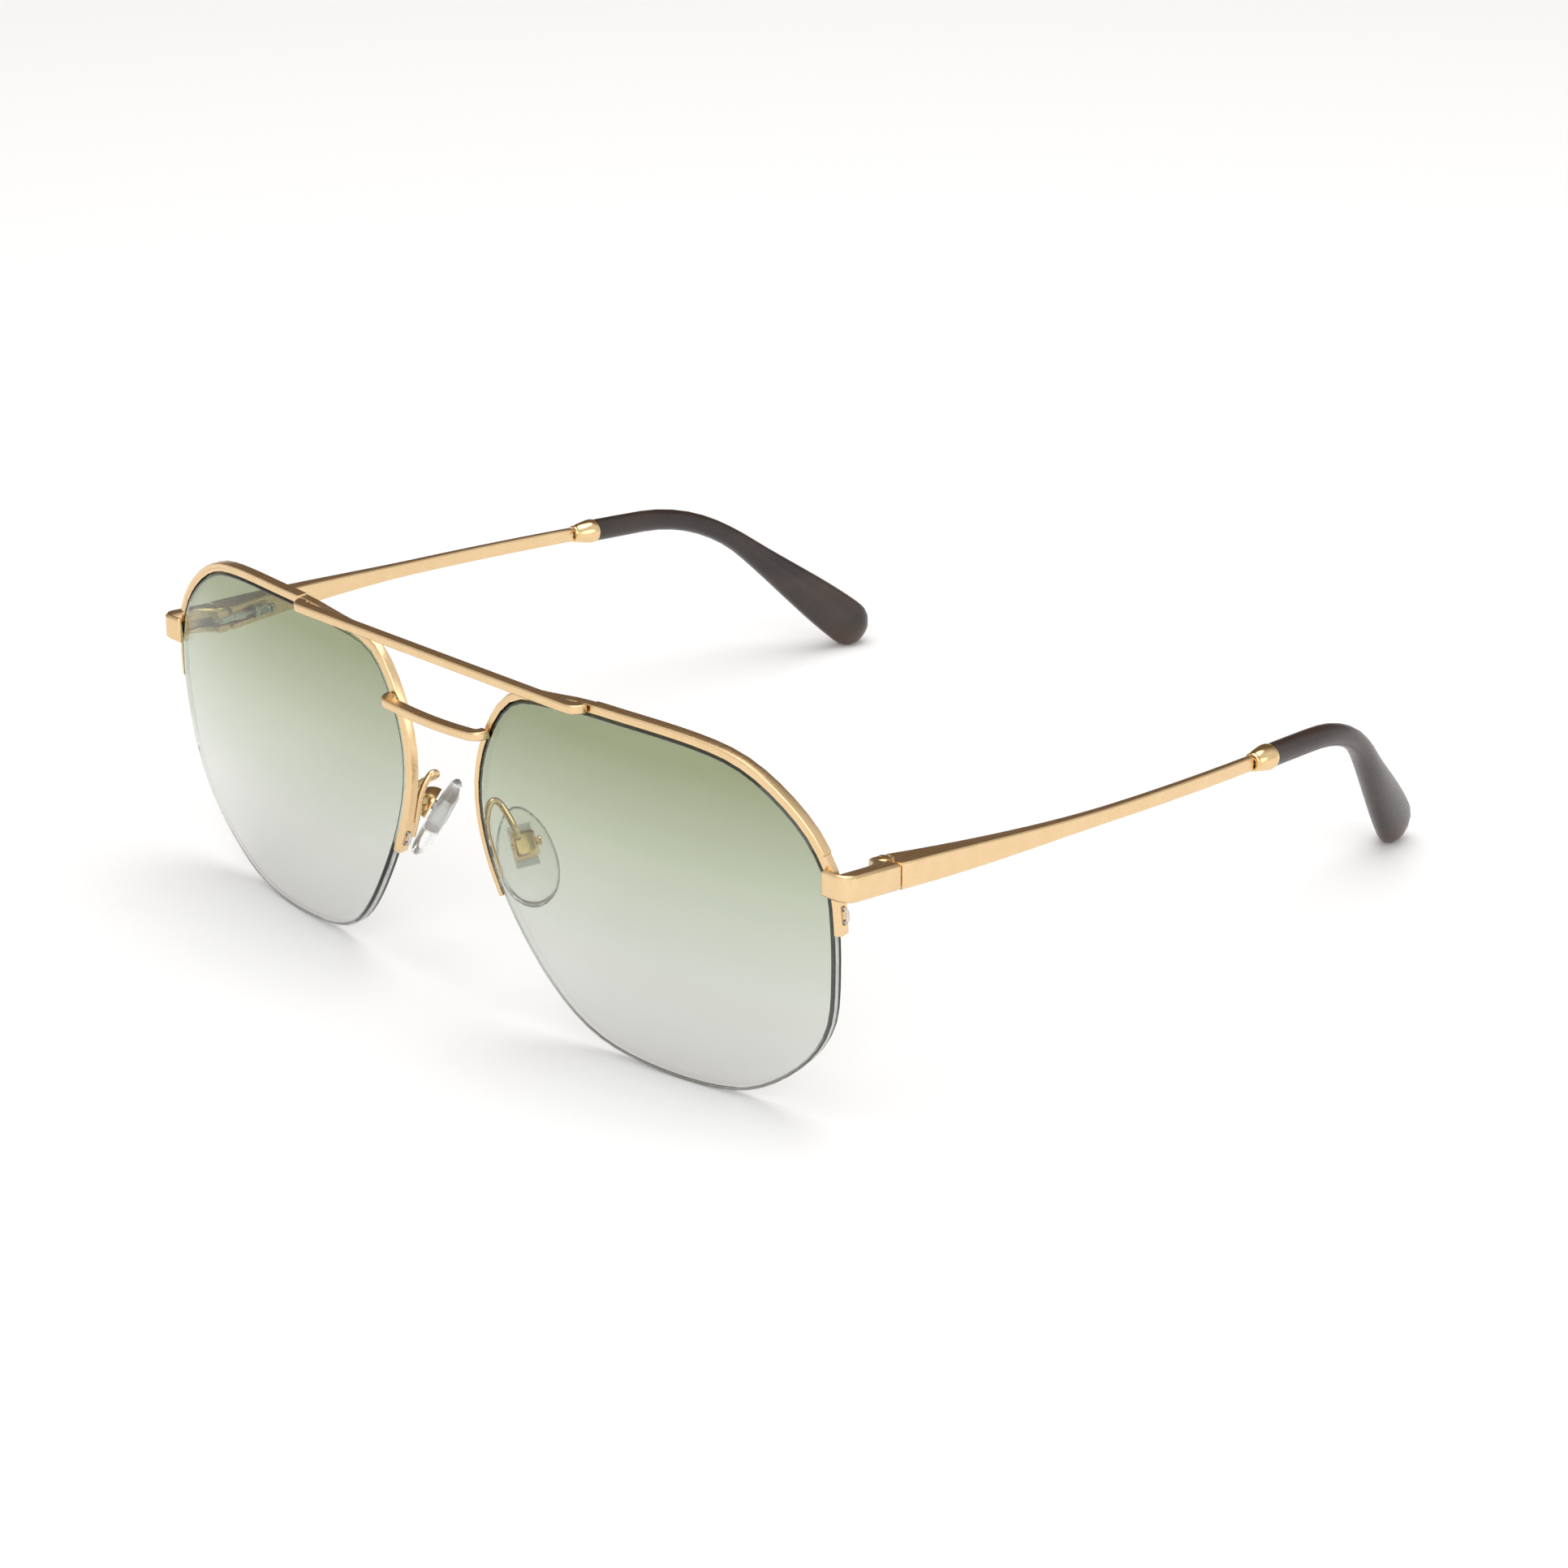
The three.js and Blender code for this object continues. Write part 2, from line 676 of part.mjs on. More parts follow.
function springSlideGeometry() {
  const eye = new THREE.CylinderGeometry(eyeRadius, eyeRadius, tongueTall, 28);
  eye.rotateX(Math.PI / 2);
  const alongTemple = (geometry) => geometry.applyQuaternion(tiltToTemple);
  const neck = alongTemple(
    box([-tongueWidth / 2, 0, -tongueTall / 2], [tongueWidth / 2, tongueLength, tongueTall / 2]),
  );
  const rodEnd = tongueLength + rodLength;
  const rod = alongTemple(alongBar(rodRadius, tongueLength - rodSunk, rodEnd));
  const head = alongTemple(alongBar(rodHeadRadius, rodEnd - rodHeadLength, rodEnd));
  const bore = cylinder(screwRadius + screwFit, new THREE.Vector3(0, 0, -3), new THREE.Vector3(0, 0, 3));
  return solid(cut(join(eye, neck, rod, head), bore));
}

function springStopGeometry() {
  const half = cavitySize / 2 - stopFit;
  const plate = box([-half, stopAt, -half], [half, stopAt + stopLength, half]);
  const reach = pinInset - stopPinShort;
  const middle = stopAt + stopLength / 2;
  const pinStart = new THREE.Vector3(-reach, middle, 0);
  const pin = cylinder(stopPinRadius, pinStart, new THREE.Vector3(-half + stopPinSunk, middle, 0), 16);
  const bore = alongBar(rodRadius + rodFit, stopAt - 1, stopAt + 2);
  return solid(cut(join(plate, pin), bore).applyQuaternion(tiltToTemple));
}

function hingeSpringGeometry() {
  const from = stopAt + stopLength + clearance / 2 + springWire / 2;
  const to = tongueLength + rodLength - rodHeadLength - clearance / 2 - springWire / 2;
  const stepsPerTurn = 9;
  const points = [];
  for (let k = 0; k <= springTurns * stepsPerTurn; k += 1) {
    const turn = (2 * Math.PI * k) / stepsPerTurn;
    const y = from + ((to - from) * k) / (springTurns * stepsPerTurn);
    points.push(new THREE.Vector3(springRadius * Math.cos(turn), y, springRadius * Math.sin(turn)));
  }
  const coil = sweepPoints(points, circle(springWire / 2), new THREE.Vector3(1, 0, 0), 3);
  return solid(coil.applyQuaternion(tiltToTemple));
}

// ---------- temple ----------

function templeThickness(along) {
  const extra = hingeBlockThickness - templeRearThickness;
  return templeRearThickness + extra * Math.exp(-along / templeThinning);
}

function templeTall(along) {
  const taper = THREE.MathUtils.smoothstep(along, 2, templeTaperLength);
  return THREE.MathUtils.lerp(templeHingeTall, templeRearTall, taper);
}

function templeMiddleHeight(along) {
  return hingeHeight - templeSlope * along;
}

function templeOuterAt(along) {
  const share = along / templeLength;
  return templeOuterX + 4 * templeBow * share * (1 - share);
}

const templeEnd = new THREE.Vector3(
  templeOuterX - templeRearThickness / 2,
  closingY + templeLength,
  templeMiddleHeight(templeLength),
);
const templeEndDirection = new THREE.Vector3((-4 * templeBow) / templeLength, 1, -templeSlope).normalize();
const tipStart = templeEnd.clone().addScaledVector(templeEndDirection, ferruleLength);

// The line down the middle of a tip: on along the bar, round the bend, then down and inwards.
function tipLine({ crown, leg, rise, inward, ease }) {
  const knee = tipStart.clone().addScaledVector(templeEndDirection, crown);
  const drop = Math.asin((knee.z - rise) / (leg * Math.cos(inward)));
  const down = new THREE.Vector3(
    -Math.sin(inward),
    Math.cos(inward) * Math.cos(drop),
    -Math.cos(inward) * Math.sin(drop),
  );
  const line = new THREE.CurvePath();
  const bendStart = knee.clone().addScaledVector(templeEndDirection, -ease);
  const bendEnd = knee.clone().addScaledVector(down, ease);
  line.add(new THREE.LineCurve3(tipStart, bendStart));
  line.add(new THREE.QuadraticBezierCurve3(bendStart, knee, bendEnd));
  line.add(new THREE.LineCurve3(bendEnd, knee.clone().addScaledVector(down, leg)));
  return line;
}

function tipTall(t) {
  const early = THREE.MathUtils.lerp(tipFrontTall, tipBendTall, THREE.MathUtils.smoothstep(t, 0, 0.4));
  const late = THREE.MathUtils.smoothstep(t, 0.42, 0.95);
  return THREE.MathUtils.lerp(early, tipEndTall, late);
}

function tipGeometry(bend) {
  const line = tipLine(bend);
  const steps = 26;
  const endShare = 1 - tipEndTall / 2 / line.getLength();
  const roundness = (t) => {
    if (t < endShare) return 1;
    return Math.sqrt(Math.max(1 - ((t - endShare) / (1 - endShare)) ** 2, 0.03));
  };
  // the layers crowd towards the round end
  const spread = (k) => Math.min(1 - (1 - k / steps) ** 1.4, 1);
  const points = [];
  for (let k = 0; k <= steps; k += 1) points.push(line.getPointAt(spread(k)));
  const sizeAt = (share) => {
    const t = spread(share * steps);
    const thickness = THREE.MathUtils.lerp(tipFrontThickness, tipEndThickness, t);
    return [thickness * roundness(t), tipTall(t) * roundness(t)];
  };
  const body = sweepPoints(points, circle(0.5), new THREE.Vector3(1, 0, 0), 8, sizeAt);
  return solid(cut(body, coreGeometry(line, coreRadius + coreFit, 1, clearance)));
}

// The round core that carries on from the bar, through the ferrule and into the tip.
function coreGeometry(line, radius, before, beyond) {
  const count = 12;
  const points = [tipStart.clone().addScaledVector(templeEndDirection, -before)];
  for (let k = 0; k <= count; k += 1) {
    points.push(line.getPointAt((k / count) * (coreShare + beyond / line.getLength())));
  }
  return sweepPoints(points, circle(radius), new THREE.Vector3(1, 0, 0), 4);
}

function templeGeometry(bend) {
  const steps = 30;
  const bar = extruded(chamferedRectangle(2, 2, 0.5), steps, steps);
  const start = clearance;
  // each corner keeps the same small bevel all along the bar
  const edged = (share, size) => {
    const fromMiddle = Math.abs(share) > 0.9 ? size / 2 : size / 2 - templeEdge;
    return Math.sign(share) * fromMiddle;
  };
  warp(bar, (point) => {
    const along = start + (point.z / steps) * (templeLength - start);
    const thick = templeThickness(along);
    return new THREE.Vector3(
      templeOuterAt(along) - thick / 2 + edged(point.x, thick),
      closingY + along,
      templeMiddleHeight(along) + edged(point.y, templeTall(along)),
    );
  });
  const fromPin = (geometry) => {
    return geometry.applyQuaternion(tiltToTemple).translate(hingePin.x, hingePin.y, hingePin.z);
  };
  const half = cavitySize / 2;
  const cavityEnd = tongueLength + rodLength + 0.5;
  const cavity = fromPin(box([-half, -3, -half], [half, cavityEnd, half]));
  const window = fromPin(box([-pinInset - 2, -3, -slotTall / 2], [0, 3.2, slotTall / 2]));
  const middle = stopAt + stopLength / 2;
  const pinHoleStart = new THREE.Vector3(-pinInset - 2, middle, 0);
  const pinHoleEnd = new THREE.Vector3(-half / 2, middle, 0);
  const pinHole = fromPin(cylinder(stopPinRadius + stopPinFit, pinHoleStart, pinHoleEnd, 16));
  const knuckleRoom = cylinder(
    knuckleRadius + knuckleFit,
    hingePin.clone().setZ(hingeHeight - 5),
    hingePin.clone().setZ(hingeHeight + 5),
    32,
  );
  const innerEnd = box(
    [hingeInnerX - 2, closingY - 3, hingeHeight - 5],
    [hingePin.x, hingePin.y + knuckleRadius + knuckleFit, hingeHeight + 5],
  );
  const shaped = cut(bar, cavity, window, pinHole, knuckleRoom, innerEnd);
  return solid(join(shaped, coreGeometry(tipLine(bend), coreRadius, ferruleLength + clearance, 0)));
}

function ferruleGeometry() {
  const bore = coreRadius + coreFit;
  const length = ferruleLength - 2 * clearance;
  const profile = [
    [bore, 0],
    [ferruleFrontRadius - 0.2, 0],
    [ferruleFrontRadius, 0.25],
    [ferruleFrontRadius - 0.12, 0.6],
    [ferruleFrontRadius + 0.1, 1.0],
    [ferruleRearRadius - 0.05, length * 0.7],
    [ferruleRearRadius, length * 0.85],
    [ferruleRearRadius - 0.1, length],
    [bore, length],
    [bore, 0],
  ];
  const collar = new THREE.LatheGeometry(profile.map(([r, y]) => new THREE.Vector2(r, y)), 24);
  return solid(collar.translate(0, clearance, 0));
}

// ---------- nose pads ----------

const padUp = padTopDirection.clone().normalize();
const padAcross = padFaceDirection.clone().normalize().cross(padUp).normalize();
const padFace = padUp.clone().cross(padAcross).normalize();
const padTurn = new THREE.Quaternion().setFromRotationMatrix(
  new THREE.Matrix4().makeBasis(padAcross, padFace, padUp),
);
const boxRaise = 1.5; // the box sits above the middle of the pad
const boxBack = -padThickness / 2 - padBoxGap; // its open side, behind the pad
const padPivot = new THREE.Vector3(0, boxBack - padBoxDepth * padPivotShare, boxRaise);

// A soft lozenge with a rounded edge, narrower at the top, with a pocket for its core.
function nosePadGeometry() {
  const rings = 8;
  const sides = 28;
  const profile = [];
  for (let k = 0; k <= rings; k += 1) {
    const angle = -Math.PI / 2 + (Math.PI * k) / rings;
    const radius = Math.pow(Math.max(Math.cos(angle), 0), 0.45);
    profile.push(new THREE.Vector2(k === 0 || k === rings ? 0 : radius, Math.sin(angle)));
  }
  const dish = new THREE.LatheGeometry(profile, sides);
  warp(dish, (point) => {
    const up = -point.z;
    const taper = 1 - 0.14 * up;
    const hollow = 0.35 * (point.x ** 2 + up ** 2);
    return new THREE.Vector3(
      (point.x * taper * padWidth) / 2,
      (point.y * padThickness) / 2 - hollow,
      (up * padLength) / 2,
    );
  });
  const roomX = padCoreWidth / 2 + coreFit;
  const roomZ = padCoreLength / 2 + coreFit;
  const pocketNear = [-roomX, -padThickness, boxRaise - roomZ];
  const pocket = box(pocketNear, [roomX, padCoreThickness / 2, boxRaise + roomZ]);
  return solid(cut(dish, pocket));
}

function padCoreGeometry() {
  const half = padLug / 2;
  const plate = box(
    [-padCoreWidth / 2, -padCoreThickness / 2 - 0.1, boxRaise - padCoreLength / 2],
    [padCoreWidth / 2, padCoreThickness / 2 - coreFit, boxRaise + padCoreLength / 2],
  );
  const lug = box([-half, padPivot.y - padLugReach, boxRaise - half], [half, 0, boxRaise + half]);
  const bore = cylinder(
    padScrewRadius + screwFit,
    new THREE.Vector3(-3, padPivot.y, boxRaise),
    new THREE.Vector3(3, padPivot.y, boxRaise),
    16,
  );
  return solid(cut(join(plate, lug), bore));
}

function padBoxGeometry() {
  const x = padBoxWidth / 2;
  const z = padBoxLength / 2;
  const outline = chamferedRectangle(padBoxWidth, padBoxLength, 0.5);
  const shell = extruded(outline, padBoxDepth, 4);
  // crowned over its back, open towards the pad
  warp(shell, (point) => {
    const share = point.z / padBoxDepth;
    const crown = Math.sqrt(1 - 0.55 * share ** 2);
    return new THREE.Vector3(point.x * crown, boxBack - point.z, boxRaise + point.y * crown);
  });
  const inside = box(
    [-x + padBoxWall, boxBack - padBoxDepth + padBoxWall, boxRaise - z + padBoxWall],
    [x - padBoxWall, boxBack + 1, boxRaise + z - padBoxWall],
  );
  const bore = cylinder(
    padScrewRadius + screwFit,
    new THREE.Vector3(-5, padPivot.y, boxRaise),
    new THREE.Vector3(5, padPivot.y, boxRaise),
    16,
  );
  return solid(cut(shell, inside, bore));
}

function padScrewGeometry() {
  const end = padBoxWidth / 2 + 0.1;
  const profile = [
    [0, -end],
    [padScrewRadius, -end],
    [padScrewRadius, end],
    [padScrewRadius + 0.3, end],
    [padScrewRadius + 0.3, end + 0.3],
    [padScrewRadius + 0.1, end + 0.45],
    [0, end + 0.45],
  ];
  const turned = new THREE.LatheGeometry(profile.map(([r, y]) => new THREE.Vector2(r, y)), 16);
  turned.rotateZ(-Math.PI / 2);
  const slot = box([end + 0.25, -2, -0.09], [end + 2, 2, 0.09]);
  return solid(cut(turned, slot).translate(0, padPivot.y, boxRaise));
}

// The wire rises along the back of the rim, loops over and comes down onto the box.
function padArmGeometry() {
  const behindRim = rimDepth + padArmRadius + clearance;
  const low = stationAtHeight(padCentre.z - 1.2, false);
  const high = stationAtHeight(padCentre.z + 5, false);
  const beside = rimFit + rimThickness / 2;
  const toGlasses = (x, y, z) => new THREE.Vector3(x, y, z).applyQuaternion(padTurn).add(padCentre);
  const rootHigh = toWorld(onLens(high, beside, behindRim));
  const overBox = boxBack - padBoxDepth - padArmRadius - padArmGap;
  const landing = toGlasses(-padBoxWidth / 4, overBox, boxRaise + padBoxLength / 4);
  const points = [
    toWorld(onLens(low, beside, behindRim)),
    toWorld(onLens((low + high) / 2, beside, behindRim)),
    rootHigh,
    rootHigh.clone().add(new THREE.Vector3(-0.5, 0.6, 2.2)),
    rootHigh.clone().add(new THREE.Vector3(-0.75, 1.75, 3.5)),
    rootHigh.clone().add(new THREE.Vector3(-0.3, 2.9, 2.8)),
    landing.clone().add(new THREE.Vector3(-0.4, -0.2, 1.5)),
    landing,
  ];
  const wire = new THREE.CatmullRomCurve3(points, false, "centripetal").getSpacedPoints(24);
  return solid(sweepPoints(wire, circle(padArmRadius), new THREE.Vector3(0, 1, 0), 4));
}

// ---------- assembly ----------

const glasses = new THREE.Group();

function mesh(name, geometry, looks) {
  const piece = new THREE.Mesh(geometry, new THREE.MeshStandardMaterial(looks));
  piece.name = name;
  return piece;
}

// Both bars sit against the fronts of the two rims.
const browStation = stationOnTop(browHalfLength);
const browSeat = toWorld(onLens(browStation, rimFit + rimThickness / 2, 0));
const browBar = mesh("brow_bar", barGeometry(browHalfLength, browTall, browDeep, browHook, 0), satinGold);
browBar.position.set(0, browSeat.y - clearance - browHook - browDeep, browSeat.z);

const bridgeStation = stationAtHeight(bridgeHeight, false);
const bridgeSeat = toWorld(onLens(bridgeStation, rimFit + rimThickness / 2, 0));
const bridgeHalf = bridgeSeat.x + bridgeDeep / 2;
const bridgeShape = barGeometry(bridgeHalf, bridgeTall, bridgeDeep, bridgeHook, bridgeSag);
const bridge = mesh("nose_bridge", bridgeShape, satinGold);
bridge.position.set(0, bridgeSeat.y - clearance - bridgeHook - bridgeDeep, bridgeHeight);
glasses.add(browBar, bridge);

function placedGroup(side, position, turn) {
  const group = new THREE.Group();
  group.position.set(side * position.x, position.y, position.z);
  group.quaternion.set(turn.x, side * turn.y, side * turn.z, turn.w);
  return group;
}

const level = new THREE.Quaternion();
const ferruleTurn = new THREE.Quaternion().setFromUnitVectors(new THREE.Vector3(0, 1, 0), templeEndDirection);

const pieces = [
  { at: lensPlace, turn: lensTurn, name: "lens", geometry: lensGeometry, looks: lensTint },
  { at: lensPlace, turn: lensTurn, name: "rim", geometry: rimGeometry, looks: satinGold },
  { at: lensPlace, turn: lensTurn, name: "rim_liner", geometry: linerGeometry, looks: blackNylon },
  { at: lensPlace, turn: lensTurn, name: "lens_cord", geometry: cordGeometry, looks: clearNylon },
  { at: new THREE.Vector3(), turn: level, name: "endpiece", geometry: endpieceGeometry, looks: satinGold },
  { at: hingePin, turn: level, name: "hinge_screw", geometry: hingeScrewGeometry, looks: brightGold },
  { at: hingePin, turn: level, name: "spring_slide", geometry: springSlideGeometry, looks: springSteel },
  { at: hingePin, turn: level, name: "spring_stop", geometry: springStopGeometry, looks: springSteel },
  { at: hingePin, turn: level, name: "hinge_spring", geometry: hingeSpringGeometry, looks: springSteel },
  { at: new THREE.Vector3(), turn: level, name: "temple", geometry: templeGeometry, looks: satinGold },
  { at: templeEnd, turn: ferruleTurn, name: "ferrule", geometry: ferruleGeometry, looks: brightGold },
  { at: new THREE.Vector3(), turn: level, name: "temple_tip", geometry: tipGeometry, looks: darkAcetate },
  { at: new THREE.Vector3(), turn: level, name: "pad_arm", geometry: padArmGeometry, looks: satinGold },
  { at: padCentre, turn: padTurn, name: "pad_box", geometry: padBoxGeometry, looks: brightGold },
  { at: padCentre, turn: padTurn, name: "pad_screw", geometry: padScrewGeometry, looks: brightGold },
  { at: padCentre, turn: padTurn, name: "nose_pad", geometry: nosePadGeometry, looks: clearSilicone },
  { at: padCentre, turn: padTurn, name: "nose_pad_core", geometry: padCoreGeometry, looks: clearNylon },
];

for (const [side, sideName] of [[1, "left"], [-1, "right"]]) {
  for (const piece of pieces) {
    const group = placedGroup(side, piece.at, piece.turn);
    const made = piece.geometry(tipBends[sideName]);
    const geometry = side === 1 ? made : mirrored(made);
    group.add(mesh(`${piece.name}_${sideName}`, geometry, piece.looks));
    glasses.add(group);
  }
}

// centre the glasses over the origin and stand them on z = 0
const extent = new THREE.Box3().setFromObject(glasses, true);
glasses.position.set(0, -(extent.min.y + extent.max.y) / 2, -extent.min.z);

export default glasses;
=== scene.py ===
# Aviator sunglasses standing open on a pale table.
# Lengths are in metres in Blender; the dictionaries give millimetres where the name ends in Mm.
import json
import math

import bmesh
import bpy
from mathutils import Euler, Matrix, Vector

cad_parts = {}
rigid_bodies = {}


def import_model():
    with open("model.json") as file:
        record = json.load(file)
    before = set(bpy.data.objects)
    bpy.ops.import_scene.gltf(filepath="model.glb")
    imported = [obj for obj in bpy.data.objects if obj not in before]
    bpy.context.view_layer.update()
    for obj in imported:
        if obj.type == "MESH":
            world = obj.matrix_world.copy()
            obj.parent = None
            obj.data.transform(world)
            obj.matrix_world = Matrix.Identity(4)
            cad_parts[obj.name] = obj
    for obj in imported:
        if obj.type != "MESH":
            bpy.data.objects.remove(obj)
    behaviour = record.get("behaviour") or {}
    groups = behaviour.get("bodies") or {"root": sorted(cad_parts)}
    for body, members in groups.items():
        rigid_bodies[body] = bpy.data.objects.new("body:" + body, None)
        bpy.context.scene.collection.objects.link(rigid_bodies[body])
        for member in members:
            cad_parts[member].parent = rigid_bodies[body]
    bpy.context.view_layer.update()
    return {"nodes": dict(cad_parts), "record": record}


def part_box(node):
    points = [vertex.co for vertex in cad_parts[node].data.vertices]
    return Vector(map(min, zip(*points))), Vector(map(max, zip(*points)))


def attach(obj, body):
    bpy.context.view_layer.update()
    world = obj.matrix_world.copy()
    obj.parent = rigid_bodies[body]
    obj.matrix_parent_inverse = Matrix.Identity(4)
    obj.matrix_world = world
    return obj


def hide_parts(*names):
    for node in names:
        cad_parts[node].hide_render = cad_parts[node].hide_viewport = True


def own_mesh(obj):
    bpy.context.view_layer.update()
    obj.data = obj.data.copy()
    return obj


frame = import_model()
sides = ("left", "right")
mm = 0.001


def say(stage):
    print("sunglasses:", stage)


studio = {
    "floorSize": 6.0,
    "floorColour": (0.93, 0.93, 0.93, 1),
    "skyPale": (1.0, 1.0, 1.0, 1),
    "skyDark": (0.20, 0.15, 0.11, 1),
    "darkSide": (-0.60, 0.61, 0.52),  # the shaded wall of the room, which the top faces mirror
    "paleUntil": 0.45,  # how far the sky faces the dark side, from 0 across it to 1 straight at it
    "darkFrom": 0.88,
    "skyStrength": 0.84,
}

softBoxes = {
    # place, what it looks at, size and power
    "keyTop": ((-0.05, 0.1, 1.3), (0, 0, 0.02), 1.3, 9.4),
    "fillFront": ((0.7, -0.85, 0.6), (0, 0, 0.02), 1.0, 4.0),
    "lowSide": ((0.95, 0.15, 0.28), (0, 0, 0.03), 0.6, 1.2),
}


def makeStudio(values, boxes):
    world = bpy.data.worlds.new("paleStudio")
    bpy.context.scene.world = world
    world.use_nodes = True
    nodes, links = world.node_tree.nodes, world.node_tree.links
    background = nodes["Background"]
    background.inputs["Strength"].default_value = values["skyStrength"]
    place = nodes.new("ShaderNodeTexCoord")
    towards = nodes.new("ShaderNodeVectorMath")
    towards.operation = "DOT_PRODUCT"
    towards.inputs[1].default_value = values["darkSide"]
    ramp = nodes.new("ShaderNodeValToRGB")
    pale, dark = ramp.color_ramp.elements
    pale.position = values["paleUntil"]
    pale.color = values["skyPale"]
    dark.position = values["darkFrom"]
    dark.color = values["skyDark"]
    links.new(place.outputs["Generated"], towards.inputs[0])
    links.new(towards.outputs["Value"], ramp.inputs[0])
    links.new(ramp.outputs[0], background.inputs["Color"])
    for name, (at, target, size, power) in boxes.items():
        light = bpy.data.lights.new(name, "AREA")
        light.shape = "DISK"
        light.size = size
        light.energy = power
        lamp = bpy.data.objects.new(name, light)
        bpy.context.collection.objects.link(lamp)
        lamp.location = at
        lamp.rotation_euler = (Vector(at) - Vector(target)).to_track_quat("Z", "Y").to_euler()
    half = values["floorSize"] / 2
    mesh = bpy.data.meshes.new("tableTop")
    corners = [(-half, -half, 0), (half, -half, 0), (half, half, 0), (-half, half, 0)]
    mesh.from_pydata(corners, [], [(0, 1, 2, 3)])
    table = bpy.data.objects.new("tableTop", mesh)
    bpy.context.collection.objects.link(table)
    paint = bpy.data.materials.new("tablePaint")
    paint.use_nodes = True
    shader = paint.node_tree.nodes["Principled BSDF"]
    shader.inputs["Base Color"].default_value = values["floorColour"]
    shader.inputs["Roughness"].default_value = 0.7
    shader.inputs["Specular IOR Level"].default_value = 0.15
    mesh.materials.append(paint)


viewpoint = {
    "place": (0.423317, -0.433081, 0.261214),
    "turn": (90 - 22.36, 0.083, 44.62),
    "lens": 99.317,
    "sensor": 36.0,
    "shiftX": -0.00124,
}


def makeCamera(values):
    data = bpy.data.cameras.new("camera")
    data.lens = values["lens"]
    data.sensor_width = values["sensor"]
    data.shift_x = values["shiftX"]
    data.clip_start = 0.01
    camera = bpy.data.objects.new("camera", data)
    bpy.context.collection.objects.link(camera)
    camera.location = values["place"]
    camera.rotation_euler = Euler([math.radians(angle) for angle in values["turn"]])
    bpy.context.scene.camera = camera


makeStudio(studio, softBoxes)
makeCamera(viewpoint)
bpy.context.scene.view_settings.view_transform = "Standard"
say("studio and camera ready")


class Finish:
    # one material with its shader and a few short ways to add nodes
    def __init__(self, name, **sockets):
        self.material = bpy.data.materials.new(name)
        self.material.use_nodes = True
        self.nodes = self.material.node_tree.nodes
        self.links = self.material.node_tree.links
        self.shader = self.nodes["Principled BSDF"]
        for label, value in sockets.items():
            self.shader.inputs[label.replace("_", " ")].default_value = value
        self.place = self.nodes.new("ShaderNodeTexCoord").outputs["Object"]

    def stretched(self, scale, turn=(0, 0, 0)):
        mapping = self.nodes.new("ShaderNodeMapping")
        mapping.inputs["Scale"].default_value = scale
        mapping.inputs["Rotation"].default_value = turn
        self.links.new(self.place, mapping.inputs[0])
        return mapping.outputs[0]

    def noise(self, scale, detail=3.0, vector=None, rough=0.55):
        node = self.nodes.new("ShaderNodeTexNoise")
        node.inputs["Scale"].default_value = scale
        node.inputs["Detail"].default_value = detail
        node.inputs["Roughness"].default_value = rough
        self.links.new(vector or self.place, node.inputs["Vector"])
        return node.outputs[0]

    def ramp(self, source, *stops):
        node = self.nodes.new("ShaderNodeValToRGB")
        line = node.color_ramp
        while len(line.elements) < len(stops):
            line.elements.new(0.5)
        for element, (at, colour) in zip(line.elements, stops):
            element.position = at
            element.color = colour
        self.links.new(source, node.inputs[0])
        return node.outputs[0]

    def spread(self, source, low, high, lowOut, highOut):
        node = self.nodes.new("ShaderNodeMapRange")
        limits = {"From Min": low, "From Max": high, "To Min": lowOut, "To Max": highOut}
        for label, value in limits.items():
            node.inputs[label].default_value = value
        self.links.new(source, node.inputs[0])
        return node.outputs[0]

    def height(self, axis="Z"):
        node = self.nodes.new("ShaderNodeSeparateXYZ")
        self.links.new(self.place, node.inputs[0])
        return node.outputs[axis]

    def blended(self, share, first, second, kind="MIX"):
        node = self.nodes.new("ShaderNodeMix")
        node.data_type = "RGBA"
        node.blend_type = kind
        for number, value in ((0, share), (6, first), (7, second)):  # factor, A and B for colours
            socket = node.inputs[number]
            if hasattr(value, "is_linked"):
                self.links.new(value, socket)
            else:
                socket.default_value = value
        return node.outputs[2]

    def paint(self, source, label="Base Color"):
        self.links.new(source, self.shader.inputs[label])

    def bumped(self, source, distance, strength=0.5):
        node = self.nodes.new("ShaderNodeBump")
        node.inputs["Strength"].default_value = strength
        node.inputs["Distance"].default_value = distance
        self.links.new(source, node.inputs["Height"])
        self.links.new(node.outputs[0], self.shader.inputs["Normal"])


goldPlate = {
    "satin": {"deep": (0.78, 0.56, 0.31, 1), "pale": (0.82, 0.60, 0.35, 1), "rough": (0.22, 0.30)},
    "bright": {"deep": (0.80, 0.57, 0.29, 1), "pale": (0.86, 0.63, 0.35, 1), "rough": (0.12, 0.2)},
}


def goldFinish(name, values):
    # plated metal: a soft cloudy tone and a fine drawn grain along the bars
    finish = Finish(name, Metallic=1.0)
    cloud = finish.noise(420.0, 4.0)
    finish.paint(finish.ramp(cloud, (0.3, values["deep"]), (0.72, values["pale"])))
    grain = finish.noise(900.0, 2.0, finish.stretched((6.0, 0.35, 6.0)))
    finish.paint(finish.spread(grain, 0.3, 0.7, *values["rough"]), "Roughness")
    finish.bumped(grain, 0.000004, 0.2)
    return finish.material


